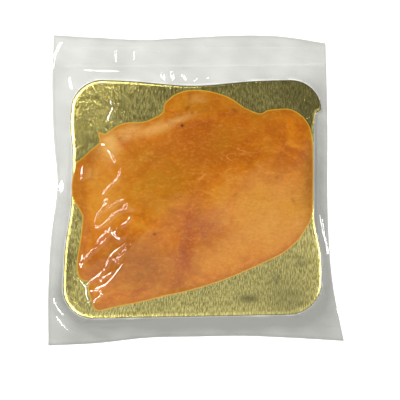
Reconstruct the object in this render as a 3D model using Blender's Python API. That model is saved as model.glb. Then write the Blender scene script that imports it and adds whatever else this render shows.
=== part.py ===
"""Pack of smoked salmon slices on a rounded card, in a clear bag that is sealed on all four sides.

The bag is shut and drawn down by vacuum, so it is one closed solid, out to the skin of its film:
a thin rippled skirt round the edge, the card's rounded step inside it, and the mound of slices.
X runs across the bag, Y along it, and the flat underside lies on Z = 0, centred on the origin.
"""

import math

import bmesh
import bpy
import numpy as np

MM = 0.001

# Bag, seen from above. Corners go clockwise from the far left one.
BAG_CORNERS = ((-98.0, 106.0), (90.5, 100.0), (98.0, -103.0), (-96.0, -106.0))
# How far each side stands out from the straight line between its corners, at even steps along it.
BAG_SIDE_WAVES = (
    (-1.0, -1.4, 1.2, 3.6, 4.0),
    (-1.2, -2.8, -4.9, -6.0, -4.8),
    (-2.4, -4.2, -4.3, -4.0, -1.1),
    (0.7, -0.6, -4.3, -1.1, 0.4),
)
SKIRT_THICKNESS = 0.4
# Ripples of the skirt: height at the bag's edge, share of it beside the card, count round the bag,
# and how far and how often the ripples drift from even spacing.
SKIRT_RIPPLE = 1.4
SKIRT_RIPPLE_AT_CARD = 0.1
SKIRT_RIPPLES = 11
SKIRT_DRIFT = 2.0
SKIRT_DRIFTS = 3

# Card
CARD_CORNERS = ((-84.3, 73.8), (86.8, 73.8), (83.6, -85.5), (-87.6, -88.8))
CARD_RADIUS = 21.0
# Where the film draws a side in: depth, centre along the side from 0 to 1, half width, power.
CARD_SIDE_PULLS = (
    (4.4, 0.48, 0.20, 2),
    (5.4, 0.40, 0.30, 6),
    (0.0, 0.50, 0.30, 2),
    (3.2, 0.55, 0.20, 4),
)
CARD_THICKNESS = 1.2
# A side drawn in curls up by this share of its depth, over this width.
CURL_SHARE = 0.5
CURL_WIDTH = 32.0
FILM_THICKNESS = 0.15

# Slices, laid over each other into one mound. The outline goes clockwise from the far left flap.
MOUND_OUTLINE = (
    (-65.0, 36.0), (-57.0, 38.5), (-48.0, 43.5), (-32.0, 45.5), (-21.5, 51.0), (-17.5, 60.0),
    (-10.0, 65.0), (3.0, 66.3), (20.5, 62.5), (34.0, 54.0), (45.5, 50.0), (56.0, 53.0),
    (66.0, 53.0), (74.0, 47.5), (79.0, 38.5), (80.0, 17.0), (79.5, -4.0), (77.0, -25.0),
    (68.0, -38.0), (50.0, -50.0), (24.5, -61.5), (4.0, -68.5), (-20.0, -74.0), (-45.0, -79.5),
    (-63.0, -83.5), (-67.5, -78.5), (-70.5, -66.0), (-77.0, -60.0), (-78.0, -45.0),
    (-76.0, -25.0), (-80.0, -14.0), (-83.0, 0.0), (-80.5, 14.0), (-77.0, 18.0), (-70.0, 14.0),
    (-66.0, 22.0),
)
MOUND_HEIGHT = 6.2
MOUND_EDGE_DROP = 1.3
SLICE_THICKNESS = 2.0
# Edges of the top slice that run over a lower one: a point on the edge, and the way down from it.
LOWER_SLICES = (((5.0, 48.5), (-0.10, 0.99)), ((-74.5, 0.0), (-1.0, 0.0)))
STEP_WIDTH = 3.5
# Long swells of the top: height, wavelength, direction in degrees, phase.
SWELLS = ((0.45, 96.0, 20.0, 0.4), (0.35, 61.0, 115.0, 1.9), (0.22, 37.0, 68.0, 3.1))

# How far a step of the film reaches inside and outside the edge that it goes down.
MOUND_STEP = (1.0, 0.4)
CARD_STEP = (0.5, 1.0)
LEAST_BORDER = 2.5

FILM_COLOUR = (0.60, 0.28, 0.04, 1.0)
FILM_ROUGHNESS = 0.18
SHARP_ANGLE = 35.0

# Samples of each outline: between two points of the bag and of the mound, and of the card's
# round corners and straight sides.
BAG_SAMPLES = 24
MOUND_SAMPLES = 10
CORNER_SAMPLES = 12
SIDE_SAMPLES = 40

# Mesh: stations along each side of the bag, and rings from the centre outwards.
STATIONS_PER_SIDE = 36
MOUND_RINGS = (0.0, 0.12, 0.24, 0.36, 0.48, 0.60, 0.71, 0.81, 0.89, 0.95)
BETWEEN_RINGS = (1 / 3, 2 / 3)
SKIRT_RINGS = (0.25, 0.5, 0.75)
WELD = 1e-5


def smooth_step(value):
    """0 below 0, 1 above 1, and a smooth S between."""
    value = np.clip(value, 0.0, 1.0)
    return value * value * (3.0 - 2.0 * value)


def catmull_rom(points, steps):
    """A smooth open curve through points, with steps samples between each two."""
    points = np.asarray(points, float)
    padded = np.vstack([2 * points[0] - points[1], points, 2 * points[-1] - points[-2]])
    t = np.linspace(0.0, 1.0, steps, endpoint=False)[:, None]
    runs = []
    for a, b, c, d in zip(padded, padded[1:], padded[2:], padded[3:]):
        bend = 2 * a - 5 * b + 4 * c - d
        twist = 3 * (b - c) + d - a
        runs.append(b + 0.5 * t * ((c - a) + t * (bend + t * twist)))
    return np.vstack(runs + [points[-1:]])


def outward_normal(start, end):
    """The unit normal on the left of a side, which is its outside where corners go clockwise."""
    along = np.subtract(end, start)
    return np.array([-along[1], along[0]]) / np.hypot(*along)


def sides_of(corners):
    """Each side of a four-cornered outline as its start and its end."""
    corners = np.asarray(corners, float)
    return zip(corners, np.roll(corners, -1, axis=0))


def bag_outline():
    """The bag's edge, with the same number of points along each side."""
    edge = []
    for (start, end), waves in zip(sides_of(BAG_CORNERS), BAG_SIDE_WAVES):
        share = np.linspace(0.0, 1.0, len(waves) + 2)[:, None]
        standing = np.array([0.0, *waves, 0.0])[:, None]
        through = start + (end - start) * share + outward_normal(start, end) * standing
        curve = catmull_rom(through, BAG_SAMPLES)
        spots = np.linspace(0, len(curve) - 1, STATIONS_PER_SIDE, endpoint=False)
        whole = np.arange(len(curve))
        edge.append(np.column_stack([np.interp(spots, whole, curve[:, k]) for k in (0, 1)]))
    return np.vstack(edge)


def card_outline():
    """A four-sided card with round corners, whose sides are drawn in by the film."""
    corners = np.asarray(CARD_CORNERS, float)
    edge = []
    for k, corner in enumerate(corners):
        before = corners[k - 1] - corner
        after = corners[(k + 1) % 4] - corner
        start = corner + before * CARD_RADIUS / np.hypot(*before)
        end = corner + after * CARD_RADIUS / np.hypot(*after)
        t = np.linspace(0.0, math.pi / 2, CORNER_SAMPLES)[:, None]
        hub = start + end - corner
        edge.append(hub + (start - hub) * np.cos(t) + (end - hub) * np.sin(t))
        arrive = corners[(k + 1) % 4] - after * CARD_RADIUS / np.hypot(*after)
        share = np.linspace(0.0, 1.0, SIDE_SAMPLES)[1:-1, None]
        straight = end + (arrive - end) * share
        depth, centre, half_width, power = CARD_SIDE_PULLS[k]
        whole = (straight - corner) @ after / (after @ after)
        pull = depth * np.exp(-(np.abs(whole - centre) / half_width) ** power)[:, None]
        edge.append(straight - outward_normal(corner, corner + after) * pull)
    return np.vstack(edge)


def mound_outline():
    """The edge of the heap of slices, as a smooth closed curve."""
    points = MOUND_OUTLINE[-2:] + MOUND_OUTLINE + MOUND_OUTLINE[:3]
    lead_in = 2 * MOUND_SAMPLES
    return catmull_rom(points, MOUND_SAMPLES)[lead_in:-lead_in]


def reach(outline, angles):
    """How far an outline lies from the origin in each direction."""
    at = np.arctan2(outline[:, 1], outline[:, 0])
    order = np.argsort(at)
    return np.interp(angles, at[order], np.hypot(*outline.T)[order], period=2 * math.pi)


def side_curl(x, y):
    """How far the card is lifted at a place, most in the middle of the sides drawn in."""
    lift = np.zeros_like(x)
    for (start, end), (depth, centre, half_width, power) in zip(
        sides_of(CARD_CORNERS), CARD_SIDE_PULLS
    ):
        along = end - start
        share = ((x - start[0]) * along[0] + (y - start[1]) * along[1]) / (along @ along)
        normal = outward_normal(start, end)
        inside = -((x - start[0]) * normal[0] + (y - start[1]) * normal[1])
        near = smooth_step(1.0 - inside / CURL_WIDTH)
        lift += CURL_SHARE * depth * near * np.exp(-(np.abs(share - centre) / half_width) ** power)
    return lift


def mound_top(x, y):
    """Height of the slices over the card: a slab with long swells, lower where one slice ends."""
    height = np.full_like(x, MOUND_HEIGHT)
    for swell, wavelength, heading, phase in SWELLS:
        turn = math.radians(heading)
        across = x * math.cos(turn) + y * math.sin(turn)
        height += swell * np.sin(2 * math.pi * across / wavelength + phase)
    for (edge_x, edge_y), (down_x, down_y) in LOWER_SLICES:
        past = (x - edge_x) * down_x + (y - edge_y) * down_y
        height -= SLICE_THICKNESS * smooth_step(past / STEP_WIDTH)
    return height


def skirt_top(angles, out):
    """Height of the skirt: ripples that grow towards the bag's edge, where out is 1."""
    drift = SKIRT_DRIFT * np.sin(SKIRT_DRIFTS * angles)
    ripple = 0.5 + 0.5 * np.sin(SKIRT_RIPPLES * angles + drift)
    growth = SKIRT_RIPPLE_AT_CARD + (1.0 - SKIRT_RIPPLE_AT_CARD) * out
    return SKIRT_THICKNESS + SKIRT_RIPPLE * ripple * growth


def pack_rings():
    """Every ring of the skin from the pole to the foot of the bag's edge, as x, y, z in mm."""
    bag = bag_outline()
    angles = np.arctan2(bag[:, 1], bag[:, 0])
    bag_reach = np.hypot(*bag.T)
    card_reach = reach(card_outline(), angles)
    mound_reach = np.minimum(reach(mound_outline(), angles), card_reach - LEAST_BORDER)
    card_level = FILM_THICKNESS + CARD_THICKNESS + FILM_THICKNESS
    rings = []

    def add(distance, height):
        x = distance * np.cos(angles)
        y = distance * np.sin(angles)
        rings.append(np.column_stack([x, y, height(x, y)]))

    def over_card(x, y):
        return card_level + side_curl(x, y)

    mound_rim = mound_reach - MOUND_STEP[0]
    mound_foot = mound_reach + MOUND_STEP[1]
    card_rim = card_reach - CARD_STEP[0]
    card_foot = card_reach + CARD_STEP[1]
    for share in MOUND_RINGS:
        add(share * mound_rim, lambda x, y: over_card(x, y) + mound_top(x, y))
    add(mound_rim, lambda x, y: over_card(x, y) + mound_top(x, y) - MOUND_EDGE_DROP)
    add(mound_foot, over_card)
    for share in BETWEEN_RINGS:
        add(mound_foot + share * (card_rim - mound_foot), over_card)
    add(card_rim, over_card)
    for share in (0.0, *SKIRT_RINGS, 1.0):
        distance = card_foot + share * (bag_reach - card_foot)
        add(distance, lambda x, y, share=share: skirt_top(angles, share))
    add(bag_reach, lambda x, y: np.zeros_like(x))
    rings[0][:, 2] = rings[0][:, 2].mean()
    return np.array(rings)


def centred(rings):
    """The rings moved so that the bag's box is centred on the origin."""
    outer = rings[-1]
    middle = (outer.min(axis=0) + outer.max(axis=0)) / 2
    return rings - [middle[0], middle[1], 0.0]


def film_material():
    """The shut bag seen as a whole: glossy, in the colour of what it holds."""
    material = bpy.data.materials.new("clear_film")
    material.use_nodes = True
    shader = material.node_tree.nodes["Principled BSDF"]
    shader.inputs["Base Color"].default_value = FILM_COLOUR
    shader.inputs["Roughness"].default_value = FILM_ROUGHNESS
    return material


def build_pack(collection):
    """A grid whose rows become the rings, closed round its seam, at its pole and underneath."""
    rings = centred(pack_rings())
    rows, columns = rings.shape[:2]
    bm = bmesh.new()
    bmesh.ops.create_grid(bm, x_segments=columns, y_segments=rows - 1, size=1.0)
    for vertex in bm.verts:
        column = round((vertex.co.x + 1.0) / 2.0 * columns) % columns
        row = round((vertex.co.y + 1.0) / 2.0 * (rows - 1))
        vertex.co = rings[row, column] * MM
    bmesh.ops.remove_doubles(bm, verts=bm.verts, dist=WELD)
    rim = [edge for edge in bm.edges if edge.is_boundary]
    bmesh.ops.edgeloop_fill(bm, edges=rim)
    bmesh.ops.recalc_face_normals(bm, faces=bm.faces)
    mesh = bpy.data.meshes.new("sealed_pack")
    bm.to_mesh(mesh)
    bm.free()
    pack = bpy.data.objects.new("sealed_pack", mesh)
    pack.data.materials.append(film_material())
    pack.data.shade_smooth()
    pack.data.set_sharp_from_angle(angle=math.radians(SHARP_ANGLE))
    collection.objects.link(pack)


def main():
    for old in list(bpy.data.objects):
        bpy.data.objects.remove(old, do_unlink=True)
    collection = bpy.data.collections.new("smoked_salmon_pack")
    bpy.context.scene.collection.children.link(collection)
    build_pack(collection)


main()
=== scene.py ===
import math
import bpy
import numpy as np
from mathutils import Matrix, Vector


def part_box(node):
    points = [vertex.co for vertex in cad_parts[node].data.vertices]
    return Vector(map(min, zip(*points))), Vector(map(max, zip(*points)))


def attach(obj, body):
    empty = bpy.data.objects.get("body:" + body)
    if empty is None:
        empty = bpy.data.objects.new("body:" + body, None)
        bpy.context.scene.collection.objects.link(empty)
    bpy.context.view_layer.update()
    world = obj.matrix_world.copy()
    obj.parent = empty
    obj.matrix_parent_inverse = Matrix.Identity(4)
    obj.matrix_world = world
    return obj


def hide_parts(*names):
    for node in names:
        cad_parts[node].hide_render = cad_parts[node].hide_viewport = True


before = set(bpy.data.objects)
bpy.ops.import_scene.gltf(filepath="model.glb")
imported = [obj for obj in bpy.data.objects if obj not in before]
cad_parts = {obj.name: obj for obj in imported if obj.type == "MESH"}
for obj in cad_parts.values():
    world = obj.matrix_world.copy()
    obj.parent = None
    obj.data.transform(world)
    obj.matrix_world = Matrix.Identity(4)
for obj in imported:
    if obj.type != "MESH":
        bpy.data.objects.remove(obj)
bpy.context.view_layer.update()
packLow, packHigh = (np.array(corner) * 1000.0 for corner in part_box("sealed_pack"))  # in mm
home = np.append((packLow + packHigh)[:2] / 2, packLow[2])  # the middle of the pack's underside
print("frame loaded, pack of", np.round(packHigh - packLow, 1), "mm")

# All lengths below are in mm from home: X across the bag, Y along it towards the seal band, Z up.


def smoothStep(value):
    # 0 below 0, 1 above 1, with a smooth S between
    value = np.clip(value, 0.0, 1.0)
    return value * value * (3.0 - 2.0 * value)


def bump(distance, width):
    # a bell of height 1 that has fallen to 0.37 at width
    return np.exp(-(distance / width) ** 2)


def smoothCurve(points, steps, closed=False):
    # Catmull-Rom: a cubic through each two points, whose slopes come from their neighbours
    points = np.asarray(points, float)
    if closed:
        padded = np.vstack([points[-1:], points, points[:2]])
    else:
        padded = np.vstack([2 * points[0] - points[1], points, 2 * points[-1] - points[-2]])
    t = np.linspace(0.0, 1.0, steps, endpoint=False)[:, None, None]
    a, b, c, d = padded[:-3], padded[1:-2], padded[2:-1], padded[3:]
    curve = b + 0.5 * t * ((c - a) + t * ((2 * a - 5 * b + 4 * c - d) + t * (3 * (b - c) + d - a)))
    curve = curve.transpose(1, 0, 2).reshape(-1, points.shape[1])
    return curve if closed else np.vstack([curve, points[-1:]])


def evenly(curve, count, closed=False):
    # the same curve with count points at equal steps along it
    if closed:
        curve = np.vstack([curve, curve[:1]])
    length = np.append(0.0, np.cumsum(np.hypot(*np.diff(curve, axis=0).T)))
    spots = np.linspace(0.0, length[-1], count, endpoint=not closed)
    return np.column_stack([np.interp(spots, length, curve[:, k]) for k in (0, 1)])


def insideBy(x, y, outline):
    # distance to the nearest edge of a closed outline, positive inside and negative outside
    nearest = np.full(x.shape, 1e9)
    inside = np.zeros(x.shape, bool)
    for (ax, ay), (bx, by) in zip(outline, np.roll(outline, -1, axis=0)):
        ex, ey = bx - ax, by - ay
        share = np.clip(((x - ax) * ex + (y - ay) * ey) / (ex * ex + ey * ey + 1e-12), 0.0, 1.0)
        nearest = np.minimum(nearest, (x - ax - share * ex) ** 2 + (y - ay - share * ey) ** 2)
        inside ^= ((ay > y) != (by > y)) & (x < ax + (y - ay) * ex / (ey if ey else 1e-9))
    return np.where(inside, 1.0, -1.0) * np.sqrt(nearest)


def ridgeAlong(x, y, path, width, height, fade=0.25, closed=False):
    # a raised line: a bell across the path, of full height along it except where it fades at its ends
    points = smoothCurve(path, 8, closed)
    if closed:
        points = np.vstack([points, points[:1]])
    near = (np.abs(x - points[:, 0].mean()) < np.ptp(points[:, 0]) / 2 + 4 * width + 1) & (
        np.abs(y - points[:, 1].mean()) < np.ptp(points[:, 1]) / 2 + 4 * width + 1
    )
    px, py = x[near], y[near]
    nearest = np.full(px.shape, 1e9)
    along = np.zeros(px.shape)
    for k, ((ax, ay), (bx, by)) in enumerate(zip(points[:-1], points[1:])):
        ex, ey = bx - ax, by - ay
        share = np.clip(((px - ax) * ex + (py - ay) * ey) / (ex * ex + ey * ey + 1e-12), 0.0, 1.0)
        away = (px - ax - share * ex) ** 2 + (py - ay - share * ey) ** 2
        along = np.where(away < nearest, (k + share) / (len(points) - 1), along)
        nearest = np.minimum(nearest, away)
    ends = 1.0 if closed else smoothStep(along / fade) * smoothStep((1.0 - along) / fade)
    result = np.zeros(x.shape)
    result[near] = height * ends * bump(np.sqrt(nearest), width)
    return result


def swells(x, y, waves):
    # a sum of straight sine waves, each given as height, wavelength, heading in degrees and phase
    total = np.zeros(x.shape)
    for height, wavelength, heading, phase in waves:
        turn = math.radians(heading)
        across = x * math.cos(turn) + y * math.sin(turn)
        total += height * np.sin(2 * math.pi * across / wavelength + phase)
    return total


bag = {
    "corners": ((-98.0, 106.0), (90.5, 100.0), (98.0, -103.0), (-96.0, -106.0)),
    "waves": (
        (-1.0, -1.4, 1.2, 3.6, 4.0),
        (-1.2, -2.8, -4.9, -6.0, -4.8),
        (-2.4, -4.2, -4.3, -4.0, -1.1),
        (0.7, -0.6, -4.3, -1.1, 0.4),
    ),  # how far each side stands out from the line between its corners
}
card = {
    "corners": ((-84.3, 73.8), (86.8, 73.8), (83.6, -85.5), (-87.6, -88.8)),
    "radius": 21.0,
    "pulls": ((4.4, 0.48, 0.20, 2), (5.4, 0.40, 0.30, 6), (0.0, 0.50, 0.30, 2), (3.2, 0.55, 0.20, 4)),
    "thickness": 1.2,
    "roll": 0.45,
    "rollWidth": 1.6,
    "curlShare": 0.3,  # lift of a drawn-in side as a share of how far it is drawn in
    "curlReach": 32.0,
    "bottom": 0.2,
    "middle": (0.0, -8.0),
}
slices = {
    "under": (
        (-80.0, 16.5), (-77.3, 17.8), (-71.0, 24.0), (-64.0, 30.0), (-57.0, 35.0), (-48.0, 39.5),
        (-34.0, 41.0), (-22.0, 43.5), (-5.0, 46.0), (14.0, 50.0), (34.0, 49.5), (46.0, 47.0),
        (62.0, 49.5), (71.0, 44.0), (75.5, 34.0), (76.0, 12.0), (75.5, -10.0), (73.0, -25.0),
        (64.0, -38.0), (49.0, -47.0), (24.0, -57.5), (4.0, -64.5), (-20.0, -70.0), (-45.0, -75.5),
        (-60.0, -79.0), (-63.5, -72.0), (-68.0, -60.5), (-74.0, -55.0), (-74.5, -42.0), (-73.5, -26.0),
        (-77.0, -17.0), (-81.0, -10.5), (-82.8, -3.0), (-82.4, 5.0), (-80.8, 12.0),
    ),
    "back": (
        (-44.0, 38.0), (-33.0, 44.5), (-26.0, 47.8), (-21.6, 51.2), (-21.0, 56.0), (-17.4, 60.2),
        (-13.0, 63.4), (-5.5, 65.8), (4.0, 66.2), (12.0, 65.0), (21.0, 62.2), (27.5, 58.8), (34.5, 53.6),
        (43.0, 49.0), (52.0, 48.5), (64.0, 48.0), (71.0, 43.5), (75.0, 34.0), (75.5, 16.0), (75.0, -8.0),
        (72.0, -24.0), (60.0, -38.0), (40.0, -48.0), (10.0, -58.0), (-20.0, -62.0), (-45.0, -60.0),
        (-58.0, -40.0), (-60.0, -10.0), (-56.0, 18.0),
    ),
    "top": (
        (-65.5, 36.5), (-61.0, 35.8), (-57.0, 38.6), (-52.0, 41.7), (-46.5, 43.6), (-37.0, 44.0),
        (-31.0, 45.2), (-23.5, 47.0), (-13.5, 49.0), (-5.0, 49.6), (4.0, 51.6), (13.5, 54.2),
        (22.0, 55.6), (29.0, 56.0), (34.5, 53.8), (40.0, 51.3), (45.5, 50.0), (49.5, 52.2), (55.0, 53.0),
        (63.0, 53.3), (69.0, 51.3), (74.5, 46.5), (78.2, 40.0), (79.9, 30.0), (80.0, 13.0),
        (79.5, -6.0), (78.6, -20.5), (74.0, -30.0), (68.5, -37.5), (60.0, -44.8), (49.5, -50.3),
        (36.5, -56.2), (24.5, -61.3), (10.0, -66.4), (-7.0, -71.2), (-19.5, -73.8), (-36.0, -77.9),
        (-48.7, -80.3), (-58.0, -82.5), (-63.0, -83.5), (-66.4, -82.0), (-67.6, -78.3), (-69.4, -73.2),
        (-70.6, -68.0), (-70.0, -64.3), (-73.0, -63.9), (-76.3, -61.8), (-78.0, -57.0), (-78.2, -49.5),
        (-76.8, -40.4), (-75.6, -30.0), (-74.9, -18.0), (-75.1, -4.0), (-75.0, 3.4), (-72.0, 4.4),
        (-69.8, 7.0), (-69.6, 12.5), (-67.2, 15.6), (-65.4, 20.5), (-64.3, 28.5),
    ),
    "thickness": {"under": 1.9, "back": 1.7, "top": 1.7},
    "edge": {"under": 42.0, "back": 42.0, "top": 26.0},
    "step": 0.05, "power": 1.25,
}


def outwardNormal(start, end):
    along = end - start
    return np.array([-along[1], along[0]]) / np.hypot(*along)


def bagSides():
    # each side is a smooth curve through points set off its chord
    corners = np.array(bag["corners"])
    sides = []
    for start, end, waves in zip(corners, np.roll(corners, -1, axis=0), bag["waves"]):
        share = np.linspace(0.0, 1.0, len(waves) + 2)[:, None]
        standing = np.array([0.0, *waves, 0.0])[:, None]
        sides.append(smoothCurve(start + (end - start) * share + outwardNormal(start, end) * standing, 24))
    return sides


def cardOutline(count):
    # straight sides drawn in by a bell, joined by quarter circles
    corners = np.array(card["corners"])
    radius = card["radius"]
    pieces = []
    for k, corner in enumerate(corners):
        before, after = corners[k - 1] - corner, corners[(k + 1) % 4] - corner
        start = corner + before * radius / np.hypot(*before)
        end = corner + after * radius / np.hypot(*after)
        arrive = corner + after * (1.0 - radius / np.hypot(*after))
        t = np.linspace(0.0, math.pi / 2, 16)[:, None]
        hub = start + end - corner
        pieces.append(hub + (start - hub) * np.cos(t) + (end - hub) * np.sin(t))
        side = end + (arrive - end) * np.linspace(0.0, 1.0, 60)[1:-1, None]
        depth, centre, halfWidth, power = card["pulls"][k]
        share = (side - corner) @ after / (after @ after)
        pull = depth * np.exp(-(np.abs(share - centre) / halfWidth) ** power)
        pieces.append(side - outwardNormal(corner, corner + after) * pull[:, None])
    return evenly(np.vstack(pieces), count, closed=True)


def sliceOutline(name, count):
    return evenly(smoothCurve(slices[name], 10, closed=True), count, closed=True)


def cardCurl(x, y):
    # lift towards each drawn-in side: curlShare of its depth by an S over curlReach and a bell along the side
    corners = np.array(card["corners"])
    lift = np.zeros(x.shape)
    for start, end, pull in zip(corners, np.roll(corners, -1, axis=0), card["pulls"]):
        depth, centre, halfWidth, power = pull
        along, normal = end - start, outwardNormal(start, end)
        share = ((x - start[0]) * along[0] + (y - start[1]) * along[1]) / (along @ along)
        inside = -((x - start[0]) * normal[0] + (y - start[1]) * normal[1])
        strength = np.exp(-(np.abs(share - centre) / halfWidth) ** power)
        lift += card["curlShare"] * depth * smoothStep(1.0 - inside / card["curlReach"]) * strength
    return lift


def cardTop(x, y):
    # flat, but lifted where the sides curl
    return card["bottom"] + card["thickness"] + cardCurl(x, y)


def sliceRise(x, y, name):
    # a slab whose thickness falls to its edge: step + (1 - step) (1 - (1 - inward) ^ power)
    depth = insideBy(x, y, sliceOutline(name, 260))
    inward = np.clip(depth / slices["edge"][name], 0.0, 1.0)
    step = slices["step"]
    rise = slices["thickness"][name] * (step + (1.0 - step) * (1.0 - (1.0 - inward) ** slices["power"]))
    if name == "back":
        rise = rise * (0.04 + 0.96 * smoothStep((0.35 * x + y + 55.0) / 80.0))
    return np.where(depth >= 0.0, rise, 0.0), depth


fleshWaves = (
    (0.30, 96.0, 20.0, 0.4), (0.24, 61.0, 115.0, 1.9), (0.14, 37.0, 68.0, 3.1), (0.06, 23.0, 140.0, 0.7),
)
fleshFolds = (
    (((-64.0, 30.0), (-57.5, 24.0), (-53.0, 14.0), (-60.0, 8.0), (-66.0, 3.0)), 2.0, 0.25),
    (((-47.0, 24.0), (-52.0, 20.0), (-56.0, 31.0)), 1.2, 0.12),
    (((-2.0, -22.0), (-4.0, -37.0), (-7.0, -47.0), (-9.5, -57.0), (-11.0, -70.0)), 3.0, -0.35),
    (((24.0, 47.0), (30.0, 41.0), (33.0, 30.0), (34.0, 18.0)), 2.4, -0.3),
    (((-14.0, 60.0), (-9.0, 56.0), (-2.0, 53.0)), 1.2, -0.4),
)


def restingHeight(x, y):
    # top of the card and the two lower slices, which the top slice lies on
    return cardTop(x, y) + sliceRise(x, y, "under")[0] + sliceRise(x, y, "back")[0]


def topOfSlices(x, y):
    below = restingHeight(x, y)
    rise, depth = sliceRise(x, y, "top")
    relief = swells(x, y, fleshWaves)
    for path, width, height in fleshFolds:
        relief += ridgeAlong(x, y, path, width, height)
    return below + rise + relief * smoothStep((depth + 1.0) / 6.0) * (depth >= 0.0)


def meshFrom(name, points, quads, tris=()):
    # points in mm from home; quads and tris are index arrays
    quads, tris = np.asarray(quads, np.int32).reshape(-1, 4), np.asarray(tris, np.int32).reshape(-1, 3)
    mesh = bpy.data.meshes.new(name)
    mesh.vertices.add(len(points))
    mesh.vertices.foreach_set("co", ((points + home) * 0.001).astype(np.float32).ravel())
    mesh.loops.add(quads.size + tris.size)
    mesh.loops.foreach_set("vertex_index", np.concatenate([quads.ravel(), tris.ravel()]))
    mesh.polygons.add(len(quads) + len(tris))
    starts = np.concatenate([np.arange(len(quads)) * 4, quads.size + np.arange(len(tris)) * 3])
    mesh.polygons.foreach_set("loop_start", starts.astype(np.int32))
    mesh.update(calc_edges=True)
    mesh.validate()
    mesh.shade_smooth()
    return mesh


def gridQuads(rows, columns):
    spot = np.arange(rows * columns).reshape(rows, columns)
    return np.stack([spot[:-1, :-1], spot[:-1, 1:], spot[1:, 1:], spot[1:, :-1]], axis=-1).reshape(-1, 4)


def ringQuads(rows, columns):
    # quads between neighbouring rings, each ring joined to itself
    spot = np.arange(rows * columns).reshape(rows, columns)
    after = np.roll(spot, -1, axis=1)
    return np.stack([spot[:-1], after[:-1], after[1:], spot[1:]], axis=-1).reshape(-1, 4)


def closedFromRings(name, rings):
    # rings run from the middle of the top, over the rim, to the middle of the bottom
    rows, columns = rings.shape[:2]
    points = np.vstack([rings.reshape(-1, 3), rings[0].mean(axis=0), rings[-1].mean(axis=0)])
    first = np.arange(columns)
    last = first + (rows - 1) * columns
    topPole, bottomPole = rows * columns, rows * columns + 1
    top = np.column_stack([np.roll(first, -1), first, np.full(columns, topPole)])
    bottom = np.column_stack([last, np.roll(last, -1), np.full(columns, bottomPole)])
    return meshFrom(name, points, ringQuads(rows, columns), np.vstack([top, bottom])), points


def addPiece(name, mesh, material, fields=None):
    for field, values in (fields or {}).items():
        mesh.attributes.new(field, "FLOAT", "POINT").data.foreach_set("value", values.astype(np.float32))
    piece = bpy.data.objects.new(name, mesh)
    bpy.context.scene.collection.objects.link(piece)
    mesh.materials.append(material)
    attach(piece, "root")
    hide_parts("sealed_pack")
    print("made", name, len(mesh.polygons), "faces")


def tint(code):
    # an sRGB hex colour as linear red, green, blue and alpha
    parts = [int(code[k:k + 2], 16) / 255 for k in (1, 3, 5)]
    return tuple(c / 12.92 if c <= 0.04045 else ((c + 0.055) / 1.055) ** 2.4 for c in parts) + (1.0,)


def addNode(tree, kind, inputs=None, give=0, **settings):
    # one node with its settings, each input a plain value or a link; gives back one of its outputs
    made = tree.nodes.new("ShaderNode" + kind)
    for key, value in settings.items():
        setattr(made, key, value)
    for key, value in (inputs or {}).items():
        if isinstance(value, bpy.types.NodeSocket):
            tree.links.new(value, made.inputs[key])
        else:
            made.inputs[key].default_value = value
    return made.outputs[give] if len(made.outputs) else None


def newMaterial(name):
    material = bpy.data.materials.new(name)
    material.use_nodes = True
    material.node_tree.nodes.clear()
    return material, material.node_tree


film = {"clear": "#FDFDFC", "grey": "#D2D2D0", "haze": "#F4F4F0", "ior": 1.55, "roughness": 0.03}


def filmMaterial():
    # Laminated PA/PE bag film, cast and heat sealed: clear, with hard bright glints on every fold
    material, tree = newMaterial("laminated_PA_PE_film")
    # the film's grey, which on the skirt also carries painted shade and a painted shadow
    grey = addNode(tree, "Attribute", None, "Fac", attribute_name="filmGreyAndPaintedShade")
    haze = addNode(tree, "Attribute", None, "Fac", attribute_name="filmHaze")
    passed = addNode(tree, "Mix", {0: grey, 6: tint(film["clear"]), 7: tint(film["grey"])}, 2,
                     data_type="RGBA")
    through = addNode(tree, "BsdfTransparent", {"Color": passed})
    gloss = addNode(tree, "BsdfGlossy", {"Color": (1.0, 1.0, 1.0, 1.0), "Roughness": film["roughness"]})
    milk = addNode(tree, "BsdfDiffuse", {"Color": tint(film["haze"])})
    # a thin web mirrors alike from both sides, so the index is turned over where its back is seen
    behind = addNode(tree, "NewGeometry", None, "Backfacing")
    index = addNode(tree, "MapRange", {0: behind, 3: film["ior"], 4: 1.0 / film["ior"]})
    mirrored = addNode(tree, "Fresnel", {"IOR": index})
    clear = addNode(tree, "MixShader", {0: mirrored, 1: through, 2: gloss})
    addNode(tree, "OutputMaterial", {"Surface": addNode(tree, "MixShader", {0: haze, 1: clear, 2: milk})})
    return material


gold = {
    # the third colour darkens patches and paints shade by the card's left side; the fourth is the cut edge's
    # core in painted shade
    "light": "#F8EC98", "dark": "#B2A44C", "darkPatchAndPaintedShade": "#787038", "coreInPaintedShade": "#4E4428",
    "roughness": (0.18, 0.25), "bump": 0.36,
    # patterns: size in mm, how many times longer along Y, detail
    "patterns": {"streaks": (0.7, 5.0, 3.0), "fine": (0.5, 4.0, 3.0), "patches": (14.0, 1.0, 3.0)},
}


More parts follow.
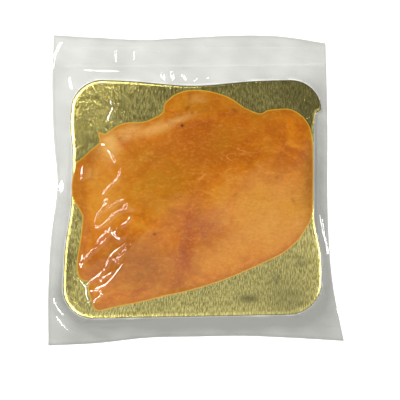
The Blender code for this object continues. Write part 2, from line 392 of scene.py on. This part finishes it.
def goldMaterial():
    # Gold metallised PET on card, rolled: fine streaks along its length that scatter the light
    material, tree = newMaterial("gold_metallised_board")
    place = addNode(tree, "TexCoord", None, "Object")
    noise = {}
    for name, (size, length, detail) in gold["patterns"].items():
        scale = (1000 / size, 1000 / size / length, 1000 / size)  # lumps per metre
        spot = addNode(tree, "Mapping", {"Vector": place, "Scale": scale})
        noise[name] = addNode(tree, "TexNoise", {"Vector": spot, "Scale": 1.0, "Detail": detail})
    lit = addNode(tree, "MapRange", {0: noise["streaks"], 1: 0.36, 2: 0.62})
    colour = addNode(tree, "Mix", {0: lit, 6: tint(gold["dark"]), 7: tint(gold["light"])}, 2,
                     data_type="RGBA")
    # dark patches, the one by the left side painted shade, then the cut edge, darkened as painted shade
    for field, name in (("darkPatchAndPaintedShade", "darkPatchAndPaintedShade"), ("cutEdgeInPaintedShade", "coreInPaintedShade")):
        amount = addNode(tree, "Attribute", None, "Fac", attribute_name=field)
        colour = addNode(tree, "Mix", {0: amount, 6: colour, 7: tint(gold[name])}, 2, data_type="RGBA")
    low, high = gold["roughness"]
    rough = addNode(tree, "MapRange", {0: noise["patches"], 1: 0.3, 2: 0.7, 3: low, 4: high})
    relief = addNode(tree, "Bump", {"Height": noise["fine"], "Strength": gold["bump"], "Distance": 0.0003})
    shader = addNode(tree, "BsdfPrincipled", {"Base Color": colour, "Metallic": 1.0, "Roughness": rough,
                                              "Normal": relief})
    addNode(tree, "OutputMaterial", {"Surface": shader})
    return material


flesh = {
    "orange": "#B86C06", "deep": "#9A5000", "golden": "#BA8024", "amber": "#8C500A", "olive": "#9C6604",
    "rust": "#8C3C00", "beige": "#C69A54", "border": "#A05C02", "rim": "#D8B034", "fibre": "#D08E40",
    "speck": "#42200A", "roughness": (0.28, 0.45), "softness": 0.15, "softnessDepth": 0.002,
    # patterns: size in mm, how many times longer along X, detail, distortion
    "patterns": {"broad": (24.0, 1.0, 3.0, 0.5), "mottle": (5.0, 1.3, 5.0, 0.7), "fine": (1.6, 1.6, 3.0, 0.8),
                 "threads": (13.0, 1.8, 1.5, 0.5), "blotch": (11.0, 1.2, 4.0, 0.9)},
    # layers under the stains: pattern, the levels where it is absent and full, strength, colour
    "layers": (("broad", 0.38, 0.62, 0.5, "deep"), ("blotch", 0.5, 0.66, 0.6, "golden"),
               ("blotch", 0.48, 0.34, 0.55, "rust")),
    # stains, painted shade among them in the border and the right edge's amber: colour, and its strength where
    # the mottle is low and where it is high
    "stains": (("deep", 0.75, 1.0), ("golden", 0.8, 1.0), ("amber", 0.7, 1.0), ("olive", 0.6, 1.0),
               ("rust", 0.6, 1.0), ("beige", 0.6, 1.0), ("border", 0.85, 1.0)),
    # layers over the stains
    "grain": (("fine", 0.5, 0.72, 0.28, "fibre"), ("fine", 0.5, 0.28, 0.3, "deep")),
}


def fleshMaterial():
    # Cold-smoked salmon: moist translucent muscle, orange to gold, with pale fat lines between its flakes
    material, tree = newMaterial("cold_smoked_salmon")
    place = addNode(tree, "TexCoord", None, "Object")
    noise = {}
    for name, (size, length, detail, distortion) in flesh["patterns"].items():
        scale = (1000 / size / length, 1000 / size, 1000 / size)  # lumps per metre
        spot = addNode(tree, "Mapping", {"Vector": place, "Scale": scale})
        noise[name] = addNode(tree, "TexNoise", {"Vector": spot, "Scale": 1.0, "Detail": detail,
                                                 "Distortion": distortion})
    # every layer is an amount and a colour, and each is mixed over those before it
    layers = [(addNode(tree, "MapRange", {0: noise[name], 1: low, 2: high, 4: most}), stain)
              for name, low, high, most, stain in flesh["layers"]]
    for stain, low, high in flesh["stains"]:
        amount = addNode(tree, "Attribute", None, "Fac", attribute_name=stain)
        uneven = addNode(tree, "MapRange", {0: noise["mottle"], 1: 0.35, 2: 0.62, 3: low, 4: high})
        layers.append((addNode(tree, "Math", {0: amount, 1: uneven}, operation="MULTIPLY"), stain))
    # threads follow one level of a slow noise, so they wind like the tissue between flakes
    offset = addNode(tree, "Math", {0: noise["threads"], 1: 0.5}, operation="SUBTRACT")
    offset = addNode(tree, "Math", {0: offset}, operation="ABSOLUTE")
    thread = addNode(tree, "MapRange", {0: offset, 1: 0.016, 2: 0.002, 4: 0.6})
    broken = addNode(tree, "MapRange", {0: noise["mottle"], 1: 0.42, 2: 0.6})
    thread = addNode(tree, "Math", {0: thread, 1: broken}, operation="MULTIPLY")
    amount = addNode(tree, "Attribute", None, "Fac", attribute_name="fibre")
    layers.append((addNode(tree, "Math", {0: thread, 1: amount}, operation="MULTIPLY"), "fibre"))
    layers += [(addNode(tree, "MapRange", {0: noise[name], 1: low, 2: high, 4: most}), stain)
               for name, low, high, most, stain in flesh["grain"]]
    for stain in ("rim", "speck"):
        layers.append((addNode(tree, "Attribute", None, "Fac", attribute_name=stain), stain))
    colour = tint(flesh["orange"])
    for amount, stain in layers:
        colour = addNode(tree, "Mix", {0: amount, 6: colour, 7: tint(flesh[stain])}, 2, data_type="RGBA")
    relief = addNode(tree, "Bump", {"Height": noise["mottle"], "Strength": 0.12, "Distance": 0.0004})
    low, high = flesh["roughness"]
    rough = addNode(tree, "MapRange", {0: noise["mottle"], 1: 0.3, 2: 0.7, 3: low, 4: high})
    shader = addNode(tree, "BsdfPrincipled", {
        "Base Color": colour, "Roughness": rough,
        "Specular IOR Level": 0.1, "IOR": 1.4, "Subsurface Weight": flesh["softness"],
        "Subsurface Scale": flesh["softnessDepth"], "Normal": relief})
    addNode(tree, "OutputMaterial", {"Surface": shader})
    return material


filmLook, goldLook, fleshLook = filmMaterial(), goldMaterial(), fleshMaterial()
print("materials made")


def shrunkRings(outline, centre, shares):
    # the outline drawn towards its centre, once for each share of its full size
    return centre + (outline[None] - centre) * np.asarray(shares)[:, None, None]


def withHeight(flat, height):
    return np.concatenate([flat, height[..., None]], axis=-1)


# Soft dark patches on the gold, the long one by the card's left side painted shade: middle, half sizes,
# strength
darkPatchesAndPaintedShade = (
    (36.0, -75.5, 8.0, 3.0, 0.8), (54.0, -63.0, 4.0, 5.0, 0.5), (71.0, -52.0, 4.0, 3.0, 0.5),
    (62.0, -76.0, 18.0, 12.0, 0.5), (-86.0, -52.0, 5.0, 24.0, 0.7),
)


def makeCard():
    # plane rings closing on the middle, lifted to the card's top; a round edge; the same rings below
    outline = cardOutline(720)
    centre = np.array(card["middle"])
    shares = 1.0 - (1.0 - np.linspace(0.03, 1.0, 44)) ** 1.3
    flat = shrunkRings(outline, centre, shares * 0.996)
    inward = insideBy(flat[..., 0], flat[..., 1], cardOutline(260))
    roll = card["roll"] * (1.0 - smoothStep(inward / card["rollWidth"]))  # the last millimetre bends down
    top = withHeight(flat, cardTop(flat[..., 0], flat[..., 1]) - roll)
    edge = shrunkRings(outline, centre, (0.9985, 1.0, 1.0, 0.9985))
    drop = np.array([0.06, 0.3, card["thickness"] - 0.3, card["thickness"] - 0.06])[:, None]
    rim = withHeight(edge, cardTop(edge[..., 0], edge[..., 1]) - card["roll"] - drop)
    below = top[::-4].copy()
    below[..., 2] -= card["thickness"] - 0.02
    mesh, points = closedFromRings("gold_card", np.concatenate([top, rim, below]))
    x, y = points[:, 0], points[:, 1]
    darkPatchAndPaintedShade = np.zeros(len(points))
    for cx, cy, wide, high, strength in darkPatchesAndPaintedShade:
        darkPatchAndPaintedShade = np.maximum(darkPatchAndPaintedShade, strength * np.exp(-((x - cx) / wide) ** 2 - ((y - cy) / high) ** 2))
    # the cut edge: the card's core, coloured dark as painted shade of its side wall
    cutEdgeInPaintedShade = 1.0 - smoothStep(insideBy(x, y, cardOutline(260)) / 0.5)
    addPiece("gold_card", mesh, goldLook, {"darkPatchAndPaintedShade": darkPatchAndPaintedShade, "cutEdgeInPaintedShade": cutEdgeInPaintedShade})


makeCard()


# Soft stains, with a strip of painted shade along the right edge: name, middle, half sizes, turn in degrees,
# strength
stains = (
    ("deep", 7.0, 24.0, 42.0, 22.0, 12.0, 1.0), ("deep", 45.0, 17.0, 10.0, 14.0, 0.0, 0.5),
    ("deep", 8.0, 57.0, 16.0, 7.0, 0.0, 0.9),
    ("olive", -24.0, -2.0, 26.0, 19.0, 20.0, 0.9), ("olive", 18.0, 30.0, 14.0, 9.0, 60.0, 0.5),
    ("olive", -32.0, 18.0, 16.0, 10.0, 0.0, 0.6),
    ("golden", 52.0, -20.0, 34.0, 26.0, 20.0, 1.0), ("golden", 22.0, -42.0, 34.0, 14.0, 20.0, 0.7),
    ("golden", -60.0, -6.0, 13.0, 24.0, 0.0, 0.8), ("olive", -3.0, 57.0, 18.0, 7.0, 0.0, 0.7),
    # the amber strip at X 78 along the right edge is painted shade
    ("amber", -38.0, -53.0, 30.0, 18.0, -15.0, 1.0), ("amber", 78.0, 12.0, 5.0, 26.0, 0.0, 0.9),
    ("amber", -66.0, -52.0, 10.0, 10.0, 0.0, 0.6),
    ("rust", -5.0, -42.0, 7.0, 34.0, -12.0, 1.0), ("rust", 4.0, -32.0, 18.0, 14.0, 0.0, 0.8),
    ("rust", 24.0, 50.0, 7.0, 5.0, 30.0, 0.5), ("rust", 4.0, 42.0, 18.0, 6.0, 10.0, 0.5),
    ("beige", -59.0, 28.0, 8.0, 11.0, -10.0, 1.0), ("beige", -45.0, 37.0, 10.0, 6.0, 20.0, 0.8),
    ("beige", -26.0, 39.0, 13.0, 3.6, 20.0, 0.9), ("beige", -11.0, 45.5, 10.0, 2.4, 18.0, 0.8),
    ("beige", 2.0, 60.0, 6.0, 3.0, 0.0, 0.4), ("beige", -70.0, 8.0, 5.0, 5.0, 0.0, 0.5),
    ("fibre", 20.0, 8.0, 40.0, 30.0, 0.0, 1.0), ("fibre", -30.0, 20.0, 30.0, 24.0, 0.0, 0.5),
    ("speck", -8.5, 41.0, 1.0, 1.1, 0.0, 1.0), ("speck", -26.5, -33.0, 1.3, 0.9, 0.0, 0.6),
    ("speck", -5.0, 53.5, 2.4, 1.2, 40.0, 0.45), ("speck", -2.0, 50.5, 1.4, 1.0, 0.0, 0.4),
    ("speck", 27.0, -7.0, 1.8, 0.8, 35.0, 0.3), ("speck", 66.0, -10.5, 1.1, 2.4, 30.0, 0.3),
    ("speck", 55.0, 5.0, 0.9, 1.6, -30.0, 0.25), ("speck", -4.0, 62.0, 1.0, 2.2, 0.0, 0.3),
    ("speck", 27.5, 52.0, 3.0, 1.2, -25.0, 0.35),
)


def fleshFields(x, y, name, depth):
    # each stain is a bell over a turned ellipse, and a field takes the strongest of its stains
    names = ("deep", "olive", "golden", "amber", "rust", "beige", "fibre", "speck")
    fields = {field: np.zeros(x.shape) for field in names}
    for field, cx, cy, across, along, turn, strength in stains:
        cosine, sine = math.cos(math.radians(turn)), math.sin(math.radians(turn))
        u, v = (x - cx) * cosine + (y - cy) * sine, (y - cy) * cosine - (x - cx) * sine
        bell = np.exp(-((u / across) ** 2 + (v / along) ** 2) ** 1.3)
        fields[field] = np.maximum(fields[field], strength * bell)
    # a darker orange border at every slice's edge; its deepening towards -Y and -X is painted shade
    lower = smoothStep((-0.3 * x - y + 10.0) / 60.0)
    fields["border"] = (0.35 + 0.65 * lower) * (1.0 - smoothStep((depth - 0.8) / 4.0))
    fields["rim"] = 0.55 * (1.0 - smoothStep((depth - 0.2) / 0.8))
    if name == "under":
        fields["amber"] = np.full(x.shape, 0.6)
    if name == "top":  # the pale rim shows only where the card lies under the edge
        onFish = np.maximum(*(insideBy(x, y, sliceOutline(lower, 260)) for lower in ("under", "back")))
        fields["rim"] = fields["rim"] * (1.0 - smoothStep(onFish / 1.5))
    return fields


def makeSlice(name, centre, around, rings, lift, below):
    # rings closing on a middle point: the top follows lift(x, y), the underside follows below(x, y)
    outline = sliceOutline(name, around)
    shares = 1.0 - (1.0 - np.linspace(0.02, 1.0, rings)) ** 1.5
    flat = shrunkRings(outline, np.array(centre), shares * 0.9995)
    x, y = flat[..., 0], flat[..., 1]
    top = withHeight(flat, lift(x, y))
    bottom = withHeight(flat, below(x, y) + 0.05)[::-3]
    mesh, points = closedFromRings("salmon_" + name + "_slice", np.concatenate([top, bottom]))
    depth = np.maximum(insideBy(points[:, 0], points[:, 1], sliceOutline(name, 260)), 0.0)
    fields = fleshFields(points[:, 0], points[:, 1], name, depth)
    addPiece("salmon_" + name + "_slice", mesh, fleshLook, fields)


def onUnderSlice(x, y):
    return cardTop(x, y) + sliceRise(x, y, "under")[0]


makeSlice("under", (0.0, -10.0), 520, 60, onUnderSlice, cardTop)
makeSlice("back", (5.0, 0.0), 520, 60, restingHeight, onUnderSlice)
makeSlice("top", (0.0, -10.0), 760, 96, topOfSlices, restingHeight)


web = {
    "columns": 266, "rows": 356, "lowerColumns": 150, "lowerRows": 160,
    # where the grid is finer, as shares of the bag's width and length, and how many times
    "fineAcross": (0.06, 0.31, 3.2), "fineAlong": (0.08, 0.6, 2.8),
    "curvature": 0.03, "passes": 400, "gap": 0.12, "layer": 0.2,
    "foldSlope": 0.44, "foldGain": 0.0014,  # a fold's height over its width at X = 0, and its rise per mm
}
# Folds of the film: path and half width. Height is half width by the slope that mirrors the keys
folds = (
    (((-48.5, 15.0), (-51.0, 4.5), (-58.0, -2.5), (-65.0, -11.5)), 1.0),
    (((-64.5, -12.5), (-58.0, -10.0), (-61.0, -16.0), (-63.5, -20.0)), 1.0),
    (((-44.5, -18.0), (-42.5, -21.5), (-45.0, -25.5), (-52.5, -29.5)), 1.1),
    (((-53.5, -29.5), (-51.5, -33.0), (-46.0, -37.0)), 2.2),
    (((-60.0, -29.0), (-57.5, -33.0), (-60.0, -37.5)), 0.9),
    (((-43.0, -41.0), (-47.0, -46.0), (-50.5, -47.0)), 1.1),
    (((-52.0, -56.0), (-56.0, -60.0), (-60.0, -62.0), (-63.0, -65.5)), 0.9),
    (((-71.0, -68.0), (-70.5, -74.0), (-68.0, -80.0)), 1.0),
    (((-76.5, -62.0), (-73.5, -65.0), (-71.0, -69.0)), 0.9),
    (((-47.0, -16.5), (-43.5, -14.5), (-42.0, -18.5)), 2.0),
    (((-44.0, -41.5), (-47.5, -47.0), (-52.0, -53.0)), 1.6),
    (((-55.5, -31.0), (-62.0, -35.5), (-67.0, -44.0), (-73.5, -51.0), (-75.5, -56.5)), 1.0),
    (((-54.0, -25.0), (-57.5, -33.0), (-62.5, -40.5), (-73.5, -49.0)), 1.0),
    (((-55.0, -48.0), (-49.0, -51.0)), 1.2),
    (((-65.0, -69.0), (-61.0, -70.5), (-61.5, -74.0), (-65.0, -76.5), (-67.0, -82.0)), 0.9),
    (((86.5, 57.0), (84.5, 46.0), (83.2, 31.0), (82.4, 12.0)), 1.4),
    (((82.0, -4.0), (83.0, -20.0), (84.5, -32.0), (87.0, -44.0), (86.0, -54.0)), 1.4),
    (((-53.0, 60.0), (-54.0, 54.5), (-57.0, 49.5), (-58.0, 46.0), (-57.5, 39.0)), 1.2),
    (((-54.5, 53.0), (-56.5, 56.0), (-57.0, 60.0)), 1.0),
    (((-71.0, 50.5), (-68.5, 45.0), (-65.5, 39.0)), 1.1),
    (((-54.0, 51.0), (-51.5, 47.5), (-49.0, 44.0)), 1.1),
    (((-64.5, 29.0), (-57.0, 23.5), (-51.0, 13.0)), 1.1),
    (((-74.5, 15.0), (-75.5, 8.0), (-75.0, 2.0)), 1.1),
    (((61.0, 96.5), (68.0, 93.8), (75.0, 90.5)), 1.0),
    (((-93.0, -72.0), (-90.0, -80.0), (-84.0, -88.0)), 1.1),
    (((-92.0, -84.0), (-86.0, -92.0), (-78.0, -98.0)), 1.2),
    (((-78.0, -91.5), (-60.0, -91.8), (-40.0, -91.0), (-20.0, -89.6)), 1.1),
    (((-70.0, -97.0), (-66.0, -100.0), (-60.0, -101.5)), 1.0),
    (((87.0, -66.0), (88.5, -76.0), (87.0, -84.0)), 1.1),
    (((90.0, -60.0), (92.5, -76.0), (93.0, -90.0)), 1.2),
    (((88.0, 88.0), (86.5, 74.0), (88.0, 60.0)), 1.1),
    (((-80.0, 80.0), (-60.0, 78.5), (-40.0, 78.5)), 1.1),
    (((30.0, 80.0), (52.0, 79.5), (74.0, 78.5)), 1.0),
    (((-89.0, 104.0), (-94.0, 95.0), (-96.0, 88.0), (-96.5, 73.5)), 1.2),
    (((-54.0, 95.5), (-53.5, 84.5)), 1.0),
    (((-41.5, 95.5), (-41.0, 84.5)), 1.0),
    (((-24.0, 95.5), (-24.0, 84.5)), 1.2),
    (((23.0, 95.5), (23.0, 86.0)), 1.2),
    (((-22.0, 79.5), (-18.5, 70.5)), 1.3),
    (((-15.0, 80.5), (-13.0, 70.5)), 1.2),
    (((-7.5, 79.5), (-3.5, 69.0)), 1.3),
    (((3.5, 80.5), (1.0, 70.5)), 1.3),
    (((13.0, 79.0), (9.0, 73.0)), 1.2),
    (((-95.0, -100.5), (-91.0, -102.5), (-87.0, -104.0)), 1.0),
    (((84.0, -94.5), (95.5, -94.5)), 1.0),
    (((64.0, -88.0), (70.5, -88.8)), 1.0),
    (((-65.0, -94.5), (-56.0, -95.0), (-48.5, -94.5)), 1.0),
    (((-86.0, 77.0), (-84.5, 71.0), (-82.0, 66.5)), 1.2),
)
loops = (
    (((-64.5, -27.0), (-63.5, -19.0), (-54.0, -14.0), (-47.5, -11.0), (-44.0, -15.0), (-53.0, -20.0),
      (-59.5, -26.5)), 1.2),
    (((-41.5, -38.5), (-48.0, -41.5), (-55.0, -47.5), (-59.0, -56.0), (-63.0, -60.5), (-68.0, -64.0),
      (-71.0, -68.5), (-65.0, -69.5), (-58.0, -66.5), (-55.0, -63.5), (-48.0, -54.5), (-44.0, -45.5)), 1.0),
)
seal = {"borders": (84.0, 96.5), "lean": 0.01, "bandHaze": 0.035, "borderHaze": 0.12, "halfLength": 88.0}


def unevenSteps(count, fineFrom, fineTo, ratio):
    # 0 to 1 in count steps that are ratio times finer between fineFrom and fineTo
    share = np.linspace(0.0, 1.0, 2000)
    inside = smoothStep((share - fineFrom) / 0.08 + 0.5) * smoothStep((fineTo - share) / 0.08 + 0.5)
    density = np.cumsum(1.0 + (ratio - 1.0) * inside)
    density = (density - density[0]) / (density[-1] - density[0])
    return np.interp(np.linspace(0.0, 1.0, count), density, share)


def webPlan(columns, rows):
    # Coons patch: each point blends the four wavy sides and takes away the corners counted twice
    top, right, bottom, left = (evenly(side, 400) for side in bagSides())
    bottom, right = bottom[::-1], right[::-1]
    u = unevenSteps(columns, *web["fineAcross"])[None, :, None]
    v = unevenSteps(rows, *web["fineAlong"])[:, None, None]
    whole = np.linspace(0.0, 1.0, 400)

    def along(side, share):
        return np.stack([np.interp(share, whole, side[:, k]) for k in (0, 1)], axis=-1)

    across = (1 - v) * along(bottom, u[0, :, 0])[None] + v * along(top, u[0, :, 0])[None]
    upward = (1 - u) * along(left, v[:, 0, 0])[:, None] + u * along(right, v[:, 0, 0])[:, None]
    corners = (1 - u) * ((1 - v) * bottom[0] + v * top[0]) + u * ((1 - v) * bottom[-1] + v * top[-1])
    return across + upward - corners


def drapedOver(ground, plan):
    # a stretched skin: each point is the mean of its four neighbours less a pull, never below the ground
    cell = np.gradient(plan[..., 0], axis=1) ** 2 + np.gradient(plan[..., 1], axis=0) ** 2
    pull = web["curvature"] * cell[1:-1, 1:-1] / 8
    skin = ground.copy()
    for _ in range(web["passes"]):
        mean = (skin[2:, 1:-1] + skin[:-2, 1:-1] + skin[1:-1, 2:] + skin[1:-1, :-2]) / 4
        skin[1:-1, 1:-1] = np.maximum(ground[1:-1, 1:-1], mean - pull)
    return skin


skirt = {
    "height": 0.55, "wave": 0.315, "reach": 13.0,  # it leaves the card's edge within reach
    "swells": (
        (0.5, 47.0, 12.0, 0.3), (0.35, 31.0, 96.0, 2.2), (0.3, 19.0, 160.0, 1.1), (0.2, 11.0, 60.0, 0.2),
    ),
    # the greys carry painted shade towards -Y and +X and a painted shadow beside the card
    "grey": 0.5, "paintedShadeGrey": 0.3, "cardShadow": 0.8, "shadowReach": 5.0, "unevenGrey": 0.06,
    "edgeGrey": 0.25, "edgeWidth": 1.6,
}


def skirtHeight(x, y):
    # a level sheet plus wave by one more than its swells
    return skirt["height"] + skirt["wave"] * (1.0 + swells(x, y, skirt["swells"]))


def skirtGreyAndPaintedShade(x, y, onCard):
    # how much the skirt dulls what is seen through it: the film's grey, plus painted shade towards -Y and +X
    # and a painted shadow beside the card on those sides
    out = np.maximum(-onCard, 0.0)
    # painted shade: the skirt greyer towards -Y and +X
    paintedLeeShade = smoothStep((0.5 * x - 0.8 * y + 55.0) / 130.0)
    grey = skirt["grey"] + skirt["paintedShadeGrey"] * paintedLeeShade
    # painted shadow of the card on the skirt
    grey += skirt["cardShadow"] * paintedLeeShade * np.exp(-out / skirt["shadowReach"])
    grey += skirt["unevenGrey"] * swells(x, y, skirt["swells"])
    fromEdge = insideBy(x, y, evenly(np.vstack(bagSides()), 300, closed=True))
    grey += skirt["edgeGrey"] * (1.0 - smoothStep(fromEdge / skirt["edgeWidth"]))
    return np.clip(grey, 0.0, 1.3) * smoothStep(out / 0.8)


def makeWebs():
    plan = webPlan(web["columns"], web["rows"])
    x, y = plan[..., 0], plan[..., 1]
    onCard = insideBy(x, y, cardOutline(260))
    near = smoothStep(1.0 + onCard / skirt["reach"])  # 1 at the card's edge, 0 at reach from it
    outside = skirtHeight(x, y)
    outside += (cardTop(x, y) + web["gap"] - outside) * near
    ground = np.where(onCard > 0, topOfSlices(x, y) + web["gap"], outside)
    skin = drapedOver(ground, plan)
    for k, (path, width) in enumerate(folds + loops):
        slope = web["foldSlope"] + web["foldGain"] * np.mean(path, axis=0)[0]
        skin += ridgeAlong(x, y, path, width, slope * width, closed=k >= len(folds))
    grey = skirtGreyAndPaintedShade(x, y, onCard)
    # the seal bar has whitened the band it pressed, most along its two borders
    low, high = seal["borders"]
    band = smoothStep((y - low + 1.0) / 2.0) * smoothStep((high + 1.0 - y) / 2.0)
    border = bump(y - low - seal["lean"] * x, 0.7) + 0.6 * bump(y - high, 0.7)
    haze = seal["bandHaze"] * band + seal["borderHaze"] * border * (np.abs(x) < seal["halfLength"])
    points = withHeight(plan, skin).reshape(-1, 3)
    mesh = meshFrom("film_upper_web", points, gridQuads(*x.shape))
    fields = {"filmGreyAndPaintedShade": grey.ravel(), "filmHaze": haze.ravel()}
    addPiece("film_upper_web", mesh, filmLook, fields)

    plan = webPlan(web["lowerColumns"], web["lowerRows"])
    x, y = plan[..., 0], plan[..., 1]
    onCard = insideBy(x, y, cardOutline(260))
    near = smoothStep(1.0 + onCard / skirt["reach"])
    dip = card["roll"] * (1.0 - smoothStep(np.abs(onCard) / (2.0 * card["rollWidth"])))
    level = card["bottom"] + cardCurl(x, y) - web["gap"] - dip
    outside = skirtHeight(x, y) - web["layer"]
    points = withHeight(plan, np.maximum(outside + (level - outside) * near, 0.05)).reshape(-1, 3)
    mesh = meshFrom("film_lower_web", points, gridQuads(*x.shape)[:, ::-1])
    fields = {"filmGreyAndPaintedShade": skirtGreyAndPaintedShade(x, y, onCard).ravel(), "filmHaze": np.zeros(x.size)}
    addPiece("film_lower_web", mesh, filmLook, fields)


makeWebs()


studio = {
    # the room goes from bright to dark towards +Y, turned by roomTurn towards -X
    "roomBright": 1.08, "roomDark": 0.15, "roomFrom": -0.1, "roomTo": 0.15, "roomTurn": 18.0,
    "floor": "#E8E8E6", "floorGlow": 0.4,
    "keyRadiance": 22.5, "keyLean": 40.0, "keyDistance": 900.0, "keySize": (668.0, 68.0),
    "keyTurns": (-120.0, -82.0, -44.0),
    "glintTurn": 95.0, "glintLean": 56.0, "glintSize": (340.0, 150.0),  # a small lamp opposite the keys
}
camera = {"aim": (3.55, -9.45), "distance": 524.0, "tilt": 8.0, "lens": 70.0, "sensor": 36.0}


def addLamp(name, turn, lean, size):
    # aimed at home; to be seen as evenly bright its power is radiance times pi times its area
    turn, lean = math.radians(turn), math.radians(lean)  # a turn of 0 is towards +Y, a positive one towards +X
    light = bpy.data.lights.new(name, "AREA")
    light.shape = "RECTANGLE"
    light.size, light.size_y = size[0] * 0.001, size[1] * 0.001
    light.energy = studio["keyRadiance"] * math.pi * light.size * light.size_y
    lamp = bpy.data.objects.new(name, light)
    bpy.context.scene.collection.objects.link(lamp)
    back = np.array([math.sin(lean) * math.sin(turn), math.sin(lean) * math.cos(turn), math.cos(lean)])
    side = np.cross((0.0, 0.0, 1.0), back) / math.sin(lean)
    lamp.location = (home + back * studio["keyDistance"]) * 0.001
    lamp.rotation_euler = Matrix(np.column_stack([side, np.cross(back, side), back]).tolist()).to_euler()


def makeStudio():
    for k, turn in enumerate(studio["keyTurns"]):
        addLamp("key_%d" % k, turn, studio["keyLean"], studio["keySize"])
    addLamp("glint", studio["glintTurn"], studio["glintLean"], studio["glintSize"])

    size, drop = 3000.0, -0.3
    corners = np.array([(-size, -size, drop), (size, -size, drop), (size, size, drop), (-size, size, drop)])
    floor = bpy.data.objects.new("floor", meshFrom("floor", corners, [[0, 1, 2, 3]]))
    bpy.context.scene.collection.objects.link(floor)
    material, tree = newMaterial("matt_white_board")
    matt = addNode(tree, "BsdfDiffuse", {"Color": tint(studio["floor"])})
    seen = addNode(tree, "LightPath", None, "Is Camera Ray")
    glow = addNode(tree, "Math", {0: seen, 1: studio["floorGlow"]}, operation="MULTIPLY")
    glow = addNode(tree, "Emission", {"Strength": glow})
    addNode(tree, "OutputMaterial", {"Surface": addNode(tree, "AddShader", {0: matt, 1: glow})})
    floor.data.materials.append(material)

    world = bpy.data.worlds.new("studio")
    bpy.context.scene.world = world
    world.use_nodes = True
    tree = world.node_tree
    tree.nodes.clear()
    seen = addNode(tree, "LightPath", None, "Is Camera Ray")
    turn = math.radians(studio["roomTurn"])
    away = (-math.sin(turn), math.cos(turn), 0.0)
    heading = addNode(tree, "VectorMath", {0: addNode(tree, "TexCoord", None, "Generated"), 1: away}, "Value",
                      operation="DOT_PRODUCT")
    room = addNode(tree, "MapRange", {0: heading, 1: studio["roomFrom"], 2: studio["roomTo"],
                                      3: studio["roomBright"], 4: studio["roomDark"]})
    strength = addNode(tree, "Math", {0: room, 1: seen}, operation="MAXIMUM")
    addNode(tree, "OutputWorld", {"Surface": addNode(tree, "Background", {"Strength": strength})})

    tilt = math.radians(camera["tilt"])
    eye = bpy.data.cameras.new("camera")
    eye.lens, eye.sensor_width = camera["lens"], camera["sensor"]
    viewer = bpy.data.objects.new("camera", eye)
    bpy.context.scene.collection.objects.link(viewer)
    ahead = np.array([0.0, -math.sin(tilt), math.cos(tilt)]) * camera["distance"]
    viewer.location = (home + [*camera["aim"], 0.0] + ahead) * 0.001
    viewer.rotation_euler = (tilt, 0.0, 0.0)
    bpy.context.scene.camera = viewer
    bpy.context.scene.view_settings.view_transform = "Standard"


makeStudio()
print("studio made")
